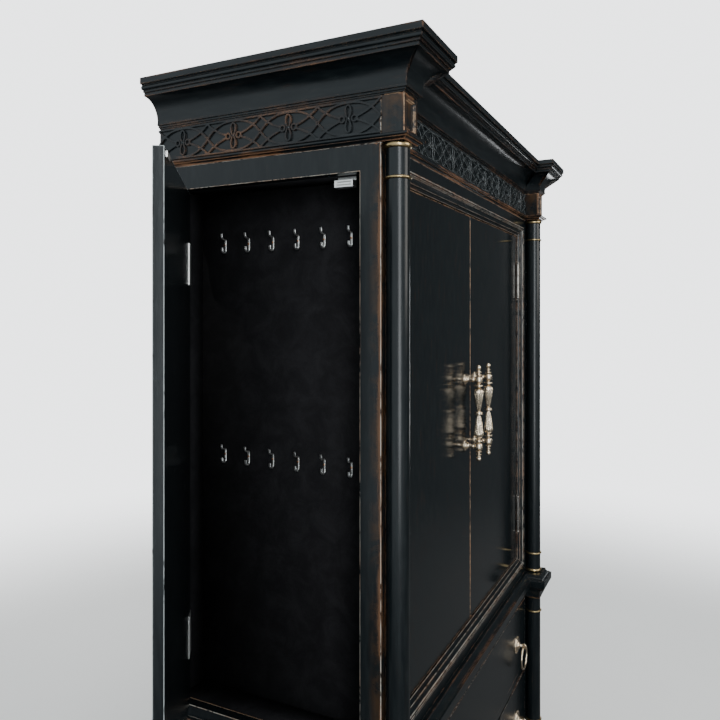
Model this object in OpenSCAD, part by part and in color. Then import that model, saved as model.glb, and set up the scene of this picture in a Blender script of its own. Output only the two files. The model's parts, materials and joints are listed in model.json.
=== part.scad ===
// Jewelry armoire: two-door cupboard over two drawers, with a felt-lined jewelry cupboard in its left side.
// The origin is on the floor under the middle of the case. The front faces -Y and the left side faces -X.

/* [Case] */
// Width over the side frames
case_w = 1200; // [1100:10:1300]
// Depth from the corner blocks to the back
case_d = 575; // [540:5:620]
// Height to the top of the cornice
total_h = 2050; // [2000:10:2100]
// Thickness of the frame boards
board = 22; // [18:1:24]

/* [Corners] */
// Width of the corner blocks that stand forward
block_w = 63; // [58:1:72]
// Depth from the corner blocks back to the front frame
recess = 46; // [44:1:52]
// Radius of the corner columns
column_r = 22.4; // [18:0.2:22.4]
// How far the brass rings stand out from a column
ring_out = 3.6; // [2:0.2:5]

/* [Front doors] */
// Width of the opening that the two doors fill
door_open_w = 1008; // [980:2:1016]
// Height of the door opening
door_open_h = 1061; // [1040:1:1070]
// Length of a door pull
pull_len = 241; // [200:1:260]
// Distance between a pull's posts
pull_post_gap = 170; // [150:1:180]

/* [Jewelry compartment] */
// Depth of the compartment behind the side frame
nook_d = 67; // [60:1:70]
// Width of the side opening
side_open_w = 428; // [410:2:428]
// Height of the side opening
side_open_h = 1094; // [1080:2:1100]
// Thickness of the side door
side_door_t = 18; // [16:1:22]
// Angle that the side door stands open
side_door_open = 54.8; // [0:0.2:80]
// Hooks in each row
hooks_per_row = 6; // [4:1:6]

/* [Drawers] */
// Height of a drawer front
drawer_h = 208; // [190:1:210]
// Outer diameter of a ring pull
ring_d = 75; // [60:1:80]

/* [Hidden] */
$fn = 48;
left_x = -case_w / 2;
front_y = -case_d / 2;
rear_y = case_d / 2;
frame_y = front_y + recess;
gap = 0.4;
mitre_gap = 0.05;

// Levels, from the floor up
plinth_top = 118;
base_top = 146;
drawer1_z = 171;
drawer_pitch = 236;
waist_bottom = total_h - 1427;
waist_top = total_h - 1350;
floor_top = total_h - 1325;
side_open_z = floor_top;
door_open_z = total_h - 1296;
door_open_top = door_open_z + door_open_h;
bead_bottom = total_h - 181;
bead_top = total_h - 168;
frieze_top = total_h - 95;
side_open_y = front_y + 90;
side_open_rear = side_open_y + side_open_w;
side_open_top = side_open_z + side_open_h;

paint = [0.06, 0.07, 0.08];
worn = [0.32, 0.16, 0.09];
timber = [0.55, 0.4, 0.27];
felt = [0.1, 0.1, 0.11];
brass = [0.62, 0.5, 0.3];
nickel = [0.72, 0.7, 0.66];

// ---------- shared shapes ----------

// A box between two corners, given as ranges along x, y and z
module slab(x, y, z)
    translate([x[0], y[0], z[0]]) cube([x[1] - x[0], y[1] - y[0], z[1] - z[0]]);

module both_sides() {
    children();
    mirror([1, 0, 0]) children();
}

function arc(cx, cy, rx, ry, from, to, n = 8) =
    [for (i = [0 : n]) let (a = from + (to - from) * i / n) [cx + rx * cos(a), cy + ry * sin(a)]];

// The case's plan outline, pushed out by o, from the left rear corner round the front to the right rear
function plan(o) = [
    [left_x - o, rear_y],
    [left_x - o, front_y - o],
    [left_x + block_w + o, front_y - o],
    [left_x + block_w + o, frame_y - o],
    [-left_x - block_w - o, frame_y - o],
    [-left_x - block_w - o, front_y - o],
    [-left_x + o, front_y - o],
    [-left_x + o, rear_y]
];

// Corner k of the plan outline at a profile point p = [offset, height], moved by a step along the wall
function plan_point(p, k, step) = [plan(p[0])[k][0] + step[0], plan(p[0])[k][1] + step[1], p[1]];

// A moulding run round the case in seven mitred lengths. The profile is clockwise from its top inner point
module run_round(profile) {
    n = len(profile);
    for (v = [0 : len(plan(0)) - 2]) {
        wall = plan(0)[v + 1] - plan(0)[v];
        step = wall / norm(wall) * mitre_gap;
        points = concat(
            [for (p = profile) plan_point(p, v, step)],
            [for (p = profile) plan_point(p, v + 1, -step)]
        );
        sides = [for (k = [0 : n - 1]) [k, n + k, n + (k + 1) % n, (k + 1) % n]];
        ends = [[for (k = [0 : n - 1]) k], [for (k = [n - 1 : -1 : 0]) n + k]];
        polyhedron(points, concat(sides, ends));
    }
}

// A picture-frame moulding round the door opening. The profile is a list of [offset, y]
module frame_round(profile, x, z) {
    n = len(profile);
    function corner(o) = [
        [x[0] - o, z[0] - o], [x[1] + o, z[0] - o],
        [x[1] + o, z[1] + o], [x[0] - o, z[1] + o]
    ];
    points = [for (v = [0 : 3]) for (p = profile) let (q = corner(p[0])[v]) [q[0], p[1], q[1]]];
    faces = [for (v = [0 : 3]) for (k = [0 : n - 1])
        [v * n + k, ((v + 1) % 4) * n + k, ((v + 1) % 4) * n + (k + 1) % n, v * n + (k + 1) % n]];
    polyhedron(points, faces);
}

// Two stiles and two rails round an opening, flat on a plane of constant x
module side_boards(x, y, z, open_y, open_z) {
    slab(x, [y[0], open_y[0]], z);
    slab(x, [open_y[1], y[1]], z);
    slab(x, [open_y[0] - gap / 4, open_y[1] + gap / 4], [z[0], open_z[0]]);
    slab(x, [open_y[0] - gap / 4, open_y[1] + gap / 4], [open_z[1], z[1]]);
}

// ---------- lower case ----------

foot_w = 118;
foot_rise = 62;
foot_curve = 40;

// Stretch of the plinth cut away between two feet, along +X from the origin, with rounded shoulders
module foot_gap(l) difference() {
    translate([0, -30, -1]) cube([l, 90, foot_rise + 1]);
    for (x = [0, l]) translate([x, -31, foot_rise]) rotate([-90, 0, 0]) cylinder(h = 92, r = foot_curve);
}

module plinth_boards() {
    out = 22;
    profile = [[0, plinth_top], [out, plinth_top], [out, 0], [0, 0]];
    color(paint) difference() {
        run_round(profile);
        translate([left_x + foot_w, frame_y - out, 0]) foot_gap(case_w - 2 * foot_w);
        both_sides() translate([left_x, front_y + foot_w, 0]) rotate([0, 0, 90])
            foot_gap(case_d - 2 * foot_w);
    }
    // Square foot that carries the middle of the bottom board
    color(timber) slab([-35, 35], [-35, 35], [0, plinth_top + 1]);
}

module base_moulding() {
    profile = concat(
        [[-24, base_top], [3, base_top], [6, base_top - 3], [6, base_top - 7]],
        arc(22, base_top - 7, 16, 16, 180, 270, 6),
        [[25, plinth_top], [-24, plinth_top]]
    );
    color(paint) run_round(profile);
}

module lower_bottom()
    color(timber) slab([left_x + 24, -left_x - 24], [frame_y + 24, rear_y - 12], [plinth_top + 1, base_top]);

module lower_side_frames()
    color(paint) both_sides()
        side_boards([left_x, left_x + board], [frame_y, rear_y], [base_top, waist_bottom],
            [frame_y + 62, rear_y - 62], [base_top + 60, waist_bottom - 60]);

// Thin panels let in behind the frames: both lower sides and the right side of the cupboard
module side_panels() {
    inner = left_x + board;
    color(paint) {
        both_sides()
            slab([inner, inner + 6], [frame_y + 52, rear_y - 52], [base_top + 50, waist_bottom - 50]);
        slab([-inner - 6, -inner], [frame_y + frame_depth, rear_y - 47], [floor_top + 2, side_open_top + 10]);
    }
}

// Its top stretch is narrower, to pass between the ends of the waist moulding
module lower_back() {
    y = [rear_y - 12, rear_y - 4];
    color(timber) {
        slab([left_x + board, -left_x - board], y, [base_top, waist_bottom]);
        slab([left_x + waist_in, -left_x - waist_in], y, [waist_bottom, waist_top + 5.5]);
    }
}

drawer_x = case_w / 2 - 62;

module drawer_face_frame() {
    y = [frame_y, frame_y + board];
    top_z = drawer1_z + drawer_pitch + drawer_h;
    color(paint) {
        both_sides() slab([left_x + board, -drawer_x - 2], y, [base_top, waist_bottom]);
        slab([-drawer_x - 2, drawer_x + 2], y, [base_top, drawer1_z - 2]);
        slab([-drawer_x - 2, drawer_x + 2], y, [drawer1_z + drawer_h + 2, drawer1_z + drawer_pitch - 2]);
        slab([-drawer_x - 2, drawer_x + 2], y, [top_z + 2, waist_bottom]);
    }
}

module drawer_runners()
    color(timber) both_sides() for (z = [drawer1_z, drawer1_z + drawer_pitch])
        slab([left_x + 29, left_x + 66], [frame_y + board, rear_y - 12], [z - 16, z + 2]);

// ---------- drawers ----------

module drawer_front(z)
    color(paint) slab([-drawer_x, drawer_x], [frame_y - 2, frame_y - 2 + board], [z, z + drawer_h]);

module drawer_box(z) {
    half = drawer_x - 10;
    y = [frame_y - 2 + board, rear_y - 40];
    low = z + 3;
    color(timber) {
        both_sides() slab([-half, -half + 13], y, [low, z + drawer_h - 26]);
        slab([-half + 13, half - 13], [y[1] - 13, y[1]], [low, z + drawer_h - 34]);
        slab([-half + 13, half - 13], [y[0], y[0] + 13], [low, z + drawer_h - 34]);
        slab([-half + 13, half - 13], [y[0] + 13, y[1] - 13], [low + 5, low + 13]);
    }
}

ring_x = case_w / 2 - 178;
ring_wire = 3.5;
eye_clearance = 1.3;
post_reach = 24;

function ring_z(z) = z + drawer_h / 2 - 2;

// Round stepped plate with a post whose eye takes the ring
module rosette(x, z) {
    face_y = frame_y - 2;
    translate([x, face_y, z]) rotate([90, 0, 0]) difference() {
        union() {
            cylinder(h = 3, r = 26);
            cylinder(h = 6, r = 22);
            cylinder(h = 10, r = 13);
            cylinder(h = post_reach, r = 5);
            translate([0, 0, post_reach]) sphere(r = 8.5);
        }
        translate([0, 0, post_reach]) rotate([0, 90, 0])
            cylinder(h = 40, r = ring_wire + eye_clearance, center = true);
    }
}

module drawer_rosettes(z) color(nickel) for (s = [-1, 1]) rosette(s * ring_x, ring_z(z));

module drop_ring(side, z) {
    big = ring_d / 2 - ring_wire;
    color(nickel) translate([side * ring_x, frame_y - 2 - post_reach, ring_z(z) - big])
        rotate([90, 0, 0]) rotate_extrude() translate([big, 0]) circle(r = ring_wire);
}

// ---------- columns ----------

column_y = front_y + 23.5;
column_x = left_x + 26.5;

module shaft(z) translate([column_x, column_y, z[0]]) cylinder(h = z[1] - z[0], r = column_r);

// A brass ring with a half-round edge, cut flat where it meets the frame behind
module band(z, tall) difference() {
    edge = arc(column_r + 0.5, tall / 2, ring_out, tall / 2, -90, 90, 8);
    translate([column_x, column_y, z]) rotate_extrude()
        polygon(concat([[column_r, 0]], edge, [[column_r, tall]]));
    slab([left_x - 20, left_x + 90], [frame_y, frame_y + 30], [z - 1, z + tall + 1]);
}

module upper_columns() color(paint) both_sides() shaft([waist_top, bead_bottom]);

module upper_column_rings()
    color(brass) both_sides() {
        band(waist_top, 10);
        band(waist_top + 58, 6);
        band(bead_bottom - 68, 6);
        band(bead_bottom - 11, 11);
    }

module lower_columns() color(paint) both_sides() shaft([base_top, waist_bottom]);

module lower_column_rings()
    color(brass) both_sides() {
        band(base_top, 10);
        band(base_top + 56, 6);
        band(waist_bottom - 57, 6);
        band(waist_bottom - 10, 10);
    }

// ---------- waist and upper case ----------

waist_in = 30;

module waist_moulding() {
    z = waist_bottom;
    profile = concat(
        [[-waist_in, z + 77], [9, z + 77]],
        arc(21, z + 77, 12, 12, 180, 262, 5),
        [[21, z + 62], [23.5, z + 62]],
        arc(23.5, z + 60, 2, 2, 90, 0, 3),
        [[25.5, z + 42]],
        arc(23.5, z + 42, 2, 2, 0, -90, 3),
        arc(23, z + 6, 18, 31, 90, 180, 7),
        [[5, z], [-waist_in, z]]
    );
    color(paint) run_round(profile);
}

module cupboard_floor()
    color(timber) slab([left_x + board, -left_x - board], [frame_y + frame_depth, rear_y - 12],
        [floor_top - 18, floor_top]);

module left_side_frame()
    color(paint) side_boards([left_x, left_x + board], [frame_y, rear_y], [waist_top, bead_bottom],
        [side_open_y, side_open_rear], [side_open_z, side_open_top]);

module right_side_frame()
    color(paint) side_boards([-left_x - board, -left_x], [frame_y, rear_y], [waist_top, bead_bottom],
        [side_open_y, side_open_rear], [side_open_z + 40, side_open_top - 40]);

nook_x = left_x + board;
nook_back = nook_x + nook_d;
nook_y = [side_open_y, side_open_rear + 12];
wall_t = 15;

module compartment_wall()
    color(timber) slab([nook_back + 3, nook_back + 3 + wall_t], [frame_y + 40, rear_y - 12],
        [floor_top, side_open_top + 26]);

module compartment_box() {
    x = [nook_x, nook_back + 3];
    color(paint) {
        slab(x, [frame_y + frame_depth, nook_y[0] - 2], [side_open_z, side_open_top + 18]);
        slab(x, [nook_y[1] + 2, nook_y[1] + 16], [side_open_z, side_open_top + 18]);
        slab(x, [nook_y[0] - 2, nook_y[1] + 2], [side_open_top + 2, side_open_top + 16]);
    }
}

module compartment_felt()
    color(felt) slab([nook_back, nook_back + 3], [nook_y[0] - 2, nook_y[1] + 2],
        [side_open_z, side_open_top + 2]);

module compartment_liner() {
    x = [nook_x, nook_back];
    color(felt) {
        slab(x, [nook_y[0] - 2, nook_y[0]], [side_open_z, side_open_top + 2]);
        slab(x, [nook_y[1], nook_y[1] + 2], [side_open_z, side_open_top + 2]);
        slab(x, nook_y, [side_open_top, side_open_top + 2]);
        slab(x, nook_y, [side_open_z, side_open_z + 2]);
    }
}

module upper_back()
    color(timber) slab([left_x + board, -left_x - board], [rear_y - 12, rear_y - 4],
        [waist_top + 6, total_h - 24]);

module cupboard_ceiling()
    color(timber) slab([left_x + board, -left_x - board], [frame_y + frame_depth, rear_y - 12],
        [side_open_top + 26, side_open_top + 44]);

door_half = door_open_w / 2;
frame_w = 26;
frame_depth = 36;

module door_face_frame() {
    y = [frame_y, frame_y + frame_depth];
    color(paint) {
        both_sides() slab([left_x + board, -door_half - frame_w], y, [waist_top, bead_bottom]);
        slab([-door_half - frame_w, door_half + frame_w], y, [door_open_top + frame_w, bead_bottom]);
        slab([-door_half - frame_w, door_half + frame_w], y, [waist_top, door_open_z - frame_w]);
    }
}

// Stepped and hollowed moulding that frames the doors, notched for the hinge barrels
module door_frame_moulding() {
    y = frame_y;
    profile = concat(
        [[0, y + frame_depth], [0, y + 15], [3, y + 15]],
        arc(3, y + 10, 4, 5, 90, 0, 5),
        [[7, y + 8]],
        arc(7, y + 2, 10, 6, 90, 0, 5),
        [[19, y + 2], [19, y - 2], [24, y - 2], [frame_w, y], [frame_w, y + frame_depth]]
    );
    notch = door_hinge_tall / 2 + 12;
    color(paint) difference() {
        frame_round(profile, [-door_half, door_half], [door_open_z, door_open_top]);
        both_sides() for (z = door_hinge_z)
            slab([-door_half - 6, -door_half + 6], [y - 5, y + 18.4], [z - notch, z + notch]);
    }
}

// ---------- frieze, bead and cornice ----------

module frieze_boards()
    color(paint) {
        both_sides() slab([left_x, left_x + 18], [frame_y, rear_y], [bead_top, frieze_top]);
        slab([left_x + block_w, -left_x - block_w], [frame_y, frame_y + 18], [bead_top, frieze_top]);
    }

module corner_blocks()
    color(paint) both_sides() difference() {
        slab([left_x, left_x + block_w], [front_y, frame_y], [bead_top, frieze_top]);
        slab([left_x + 10, left_x + block_w - 10], [front_y - 1, front_y + 4],
            [bead_top + 10, frieze_top - 10]);
    }

fret_t = 2.5;

// One repeat of the fret, lying on its back: a ring flower between crossing bars
module fret_cell(w, h) {
    slope = atan2(h, w / 2);
    reach = sqrt(w * w / 4 + h * h);
    intersection() {
        translate([-w / 2, -h / 2, 0]) cube([w, h, fret_t]);
        union() {
            for (s = [-1, 1]) for (x = [-w / 4, w / 4])
                translate([x, 0, fret_t / 2]) rotate([0, 0, s * slope])
                    cube([reach, 3.4, fret_t], center = true);
            difference() {
                cylinder(h = fret_t, r = 15);
                translate([0, 0, -1]) cylinder(h = fret_t + 2, r = 11);
            }
        }
    }
}

fret_h = frieze_top - bead_top - 6;
fret_z = (frieze_top + bead_top) / 2;

module side_fretwork() {
    field = case_d - recess;
    cell = field / 4;
    color(worn) both_sides() for (i = [0 : 3])
        translate([left_x, frame_y + cell * (i + 0.5), fret_z]) rotate([90, 0, -90])
            fret_cell(cell - gap, fret_h);
}

module front_fretwork() {
    field = case_w - 2 * block_w;
    cell = field / 8;
    color(worn) for (i = [0 : 7])
        translate([-field / 2 + cell * (i + 0.5), frame_y, fret_z]) rotate([90, 0, 0])
            fret_cell(cell - gap, fret_h);
}

module frieze_bead() {
    z = bead_bottom;
    profile = concat(
        [[-18, z + 13], [8, z + 13]],
        arc(8, z + 9.5, 4.5, 3.5, 90, -90, 6),
        arc(8, z, 7, 5, 90, 180, 4),
        [[-18, z]]
    );
    color(worn) run_round(profile);
}

module cornice() {
    z = total_h;
    profile = concat(
        [[-18, z], [59, z], [60, z - 1], [60, z - 13], [59, z - 14], [54.5, z - 14], [54.5, z - 16.5]],
        arc(54, z - 20.5, 3, 4, 90, -90, 5),
        [[51, z - 24.5], [51, z - 29], [47.5, z - 29], [47.5, z - 36]],
        arc(47.5, z - 83, 40, 47, 90, 180, 12),
        [[7.5, z - 84.5], [8.5, z - 84.5], [8.5, z - 88], [5, z - 88.5], [5, z - 92], [2, z - 92.5]],
        [[2, z - 95], [-18, z - 95]]
    );
    color(paint) run_round(profile);
}

module top_board()
    color(paint) {
        slab([left_x + 18, -left_x - 18], [frame_y + 18, rear_y], [total_h - 24, total_h - 6]);
        both_sides()
            slab([left_x + 18, left_x + block_w - 18], [front_y + 18, frame_y + 18],
                [total_h - 24, total_h - 6]);
    }

// ---------- inside the cupboard ----------

shelf_z = [door_open_z + 355, door_open_z + 710];
cupboard_x = [nook_back + 3 + wall_t, -left_x - board - 6];

module shelves()
    color(timber) for (z = shelf_z)
        slab([cupboard_x[0] + 1, cupboard_x[1] - 1], [frame_y + 62, rear_y - 16], [z, z + 20]);

module shelf_pins()
    color(nickel) for (z = shelf_z) for (y = [frame_y + 110, rear_y - 60]) for (s = [0, 1])
        translate([cupboard_x[s], y, z - 3]) rotate([0, s == 0 ? 90 : -90, 0]) cylinder(h = 12, r = 3);

module door_catches()
    color(nickel) both_sides()
        slab([24, 62], [frame_y + 41, frame_y + 55], [door_open_top - 16, side_open_top + 26]);

// ---------- hooks, catch ----------

function hook_y(i) = nook_y[0] + (nook_y[1] - nook_y[0]) * (i + 1) / (hooks_per_row + 1) - 1;

hook_rows = [total_h - 343, total_h - 806];

// Part of a bent strip: a ring segment about a centre given as [up, out], from one angle round to another
module bend(centre, inner, from, turn)
    translate([centre[0], hook_w / 2, centre[1]]) rotate([90, 0, 0]) rotate([0, 0, from])
        rotate_extrude(angle = turn) translate([inner, 0]) square([hook_t, hook_w]);

// Strip of the hook between two [up, out] corners
module strip(low, high)
    translate([low[0], -hook_w / 2, low[1]]) cube([high[0] - low[0], hook_w, high[1] - low[1]]);

hook_w = 5;
hook_t = 2;

// Double hook bent from one strip, facing -X, with its plate flat on the felt and its screw hole at the origin.
// Local X is up and local Z is out
module hook() {
    curl = 5;
    knee = 2;
    rotate([0, -90, 0]) {
        difference() {
            strip([-12, 0], [9, hook_t]);
            translate([0, 0, -1]) cylinder(h = 4, r = 1.5);
        }
        bend([-12, hook_t + curl], curl, 90, 180);
        strip([-12, hook_t + 2 * curl], [-7, 2 * hook_t + 2 * curl]);
        bend([9, hook_t + knee], knee, -90, 90);
        strip([11, hook_t + knee], [13, 9]);
        bend([18, 9], curl, 90, 90);
        strip([18, 9 + curl], [24, 9 + curl + hook_t]);
    }
}

module hook_row(z)
    color(nickel) for (i = [0 : hooks_per_row - 1]) translate([nook_back, hook_y(i), z]) hook();

module hook_screws()
    color(brass) for (z = hook_rows) for (i = [0 : hooks_per_row - 1])
        translate([nook_back, hook_y(i), z]) rotate([0, -90, 0]) {
            cylinder(h = 2.2, r = 1.4);
            translate([0, 0, hook_t]) cylinder(h = 1.3, r = 2.4);
        }

catch_y = front_y + 135;
catch_x = left_x + side_door_t + 3;

catch_top = side_open_top - 8;

// The catch hangs on a flange from the top of the compartment
module magnetic_catch() {
    y = [catch_y - 20, catch_y + 20];
    color(nickel) {
        difference() {
            slab([catch_x, catch_x + 18], y, [catch_top - 14, catch_top]);
            for (dz = [3.5, 9])
                slab([catch_x - 1, catch_x + 3], [catch_y - 16, catch_y + 16],
                    [catch_top - dz - 1.6, catch_top - dz]);
        }
        slab([catch_x + 15, catch_x + 18], y, [catch_top, side_open_top]);
    }
}

// ---------- hinges ----------

pin_r = 1.6;

// Butt hinge at its pivot, with the leaf plates reaching along +Y in the gap. Part 0 is the jamb leaf with its
// outer knuckles, part 1 the door leaf with its middle knuckle, part 2 the pin with ball tips
module butt_hinge(part, tall, knuckle_r, leaf, side) {
    third = tall / 3;
    clear = part == 1 ? 0.06 : 0;
    rows = part == 1 ? [[-third / 2 + 0.3, third / 2 - 0.3]] : [[-tall / 2, -third / 2], [third / 2, tall / 2]];
    if (part == 2) {
        cylinder(h = tall + 2, r = pin_r, center = true);
        for (s = [-1, 1]) translate([0, 0, s * (tall / 2 + 1)]) {
            translate([0, 0, s > 0 ? -1 : -2]) cylinder(h = 3, r = knuckle_r * 0.8);
            translate([0, 0, s * 5.5]) sphere(r = knuckle_r * 1.1);
        }
    } else difference() {
        union() {
            for (r = rows) translate([0, 0, r[0]]) cylinder(h = r[1] - r[0], r = knuckle_r);
            for (r = rows) translate([side * 1.1 - leaf_t / 2, 0, r[0]])
                cube([leaf_t, knuckle_r + 2, r[1] - r[0]]);
            translate([side * 1.1 - leaf_t / 2, knuckle_r + 1, -tall / 2]) cube([leaf_t, leaf, tall]);
        }
        cylinder(h = tall + 2, r = pin_r + clear, center = true);
    }
}

door_hinge_z = [door_open_z + 146, door_open_top - 148];
door_hinge_tall = 100;
door_pivot = [-door_half + 1.8, frame_y + 13];
door_leaf = 16;

module door_hinges(part, side)
    for (z = door_hinge_z) translate([door_pivot[0], door_pivot[1], z])
        butt_hinge(part, door_hinge_tall, 4, door_leaf, side);

side_hinge_z = [total_h - 1172, total_h - 392];
side_hinge_tall = 88;
side_knuckle_r = 3;
side_pivot = [left_x - 3.4, side_open_rear - 1.8];
side_leaf = 16;
leaf_t = 1.4;

module side_hinges(part, side, leaf = side_leaf)
    for (z = side_hinge_z) translate([side_pivot[0], side_pivot[1], z])
        rotate([0, 0, -90]) butt_hinge(part, side_hinge_tall, side_knuckle_r, leaf, side);

module hinge_pins()
    color(nickel) {
        both_sides() door_hinges(2, 0);
        side_hinges(2, 0);
    }

module door_jamb_hinge_leaves() color(nickel) both_sides() door_hinges(0, -1);

// ---------- side door, standing open ----------

module opened() translate([side_pivot[0], side_pivot[1], 0]) rotate([0, 0, -side_door_open])
    translate([-side_pivot[0], -side_pivot[1], 0]) children();

module side_door()
    color(paint) opened()
        slab([left_x, left_x + side_door_t], [side_open_y + 2, side_open_rear - 3.7],
            [side_open_z + 3, side_open_top - 9]);

// Each door leaf crosses the door's edge and turns the corner on to its inner face
module side_door_hinge_leaves() {
    inner = left_x + side_door_t;
    half = side_hinge_tall / 2;
    color(nickel) opened() {
        side_hinges(1, 1, inner + leaf_t - side_pivot[0] - side_knuckle_r - 1);
        for (z = side_hinge_z)
            slab([inner, inner + leaf_t], [side_open_rear - 38, side_open_rear - 2.2], [z - half, z + half]);
    }
}

module side_jamb_hinge_leaves() color(nickel) side_hinges(0, -1);

module catch_strike()
    color(nickel) opened()
        slab([left_x + side_door_t, left_x + side_door_t + 1.5], [catch_y - 18, catch_y + 18],
            [side_open_top - 21, side_open_top - 11]);

// ---------- front doors and pulls ----------

door_y = frame_y + 18;

module left_door()
    color(paint) slab([-door_half + 3.7, -1], [door_y, door_y + board], [door_open_z + 2, door_open_top - 2]);

module right_door() mirror([1, 0, 0]) left_door();

pull_x = 43.5;
pull_z = total_h - 747.5;
pull_out = 36;

// Turned bar: half of its outline from the middle out, as [radius, height]
module pull_bar() {
    half = pull_len / 2;
    post = pull_post_gap / 2;
    side = [
        [3.5, 3], [7, 5], [7, 8], [5, 10], [6.5, 14], [9, 28], [11.5, 48], [11, 58], [7, 66], [5.5, 69],
        [10, 71], [10, 74], [6, 76], [6, post - 7], [8.5, post - 6], [8.5, post + 6], [6, post + 7],
        [5, half - 26], [9.5, half - 23], [9.5, half - 20], [4.5, half - 17]
    ];
    top = arc(0, half - 8.5, 8.5, 8.5, -60, 90, 8);
    upper = concat(side, top);
    lower = [for (i = [len(upper) - 1 : -1 : 0]) [upper[i][0], -upper[i][1]]];
    rotate_extrude() polygon(concat(lower, upper));
}

module pull(x) {
    post = pull_post_gap / 2;
    color(nickel) translate([x, door_y, pull_z]) {
        translate([0, -pull_out, 0]) pull_bar();
        for (z = [-post, post]) translate([0, 0, z]) rotate([90, 0, 0]) difference() {
            union() {
                cylinder(h = 3, r = 16);
                cylinder(h = 6, r = 12);
                cylinder(h = 9, r = 8);
                cylinder(h = pull_out, r = 4.2);
            }
            translate([0, pull_len, pull_out]) rotate([90, 0, 0]) cylinder(h = 2 * pull_len, r = 8.5);
        }
    }
}

// ---------- the assembly ----------

plinth_boards();
base_moulding();
lower_bottom();
lower_side_frames();
side_panels();
lower_back();
drawer_face_frame();
drawer_runners();
lower_columns();
lower_column_rings();
waist_moulding();
cupboard_floor();
left_side_frame();
right_side_frame();
compartment_wall();
compartment_box();
compartment_felt();
compartment_liner();
upper_back();
cupboard_ceiling();
door_face_frame();
door_frame_moulding();
upper_columns();
upper_column_rings();
frieze_boards();
corner_blocks();
side_fretwork();
front_fretwork();
frieze_bead();
cornice();
top_board();
shelves();
shelf_pins();
hook_row(hook_rows[0]);  // upper_hooks
hook_row(hook_rows[1]);  // lower_hooks
hook_screws();
magnetic_catch();
door_catches();
side_door();
catch_strike();
side_jamb_hinge_leaves();
side_door_hinge_leaves();
hinge_pins();
left_door();
right_door();
pull(-pull_x);  // left_pull
pull(pull_x);  // right_pull
door_jamb_hinge_leaves();
color(nickel) door_hinges(1, 1);  // left_door_hinge_leaves
color(nickel) mirror([1, 0, 0]) door_hinges(1, 1);  // right_door_hinge_leaves
drawer_front(drawer1_z + drawer_pitch);  // upper_drawer_front
drawer_box(drawer1_z + drawer_pitch);  // upper_drawer_box
drawer_rosettes(drawer1_z + drawer_pitch);  // upper_drawer_rosettes
drawer_front(drawer1_z);  // lower_drawer_front
drawer_box(drawer1_z);  // lower_drawer_box
drawer_rosettes(drawer1_z);  // lower_drawer_rosettes
drop_ring(-1, drawer1_z + drawer_pitch);  // upper_left_ring
drop_ring(1, drawer1_z + drawer_pitch);  // upper_right_ring
drop_ring(-1, drawer1_z);  // lower_left_ring
drop_ring(1, drawer1_z);  // lower_right_ring
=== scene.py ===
# Jewelry armoire in worn black paint, with a felt lined necklace cupboard in its left side
import json
import math
import random

import bmesh
import bpy
from mathutils import Matrix, Vector


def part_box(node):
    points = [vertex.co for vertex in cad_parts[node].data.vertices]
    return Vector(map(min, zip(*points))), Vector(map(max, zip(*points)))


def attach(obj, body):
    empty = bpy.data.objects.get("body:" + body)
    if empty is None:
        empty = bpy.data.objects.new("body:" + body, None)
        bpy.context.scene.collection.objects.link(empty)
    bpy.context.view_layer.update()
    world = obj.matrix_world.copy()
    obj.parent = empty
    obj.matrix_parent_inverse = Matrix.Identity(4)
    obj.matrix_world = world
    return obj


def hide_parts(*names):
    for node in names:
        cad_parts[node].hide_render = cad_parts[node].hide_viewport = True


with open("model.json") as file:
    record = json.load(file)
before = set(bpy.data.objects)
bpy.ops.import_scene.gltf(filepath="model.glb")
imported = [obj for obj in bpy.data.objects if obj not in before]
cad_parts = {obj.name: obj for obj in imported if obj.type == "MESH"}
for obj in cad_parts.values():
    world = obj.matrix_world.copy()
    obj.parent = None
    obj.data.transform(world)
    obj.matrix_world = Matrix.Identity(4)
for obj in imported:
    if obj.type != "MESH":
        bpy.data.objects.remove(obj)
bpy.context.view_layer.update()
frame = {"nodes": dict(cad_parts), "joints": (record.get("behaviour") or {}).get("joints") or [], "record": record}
scene = bpy.context.scene
nodes = frame["nodes"]
jointOf = {joint["name"]: joint for joint in frame["joints"]}
slotOf = {part["node"]: part["material_slot"] for part in frame["record"]["subparts"]}
mm = 0.001
turn = 2 * math.pi
print("frame loaded:", len(nodes), "nodes")

# Camera, lights and floor

shot = {
    "place": (-1.738, -0.7653, 1.5484),
    "heading": -63.53,  # degrees from +Y, round towards +X
    "lens": 34.18,
    "sensor": 36.0,
    "rise": -0.0602,
}
camera = bpy.data.objects.new("camera", bpy.data.cameras.new("camera"))
scene.collection.objects.link(camera)
camera.location = shot["place"]
camera.rotation_euler = (math.radians(90), 0, math.radians(shot["heading"]))
camera.data.sensor_width = shot["sensor"]
camera.data.lens = shot["lens"]
camera.data.shift_y = shot["rise"]
camera.data.clip_end = 60
scene.camera = camera

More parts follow.
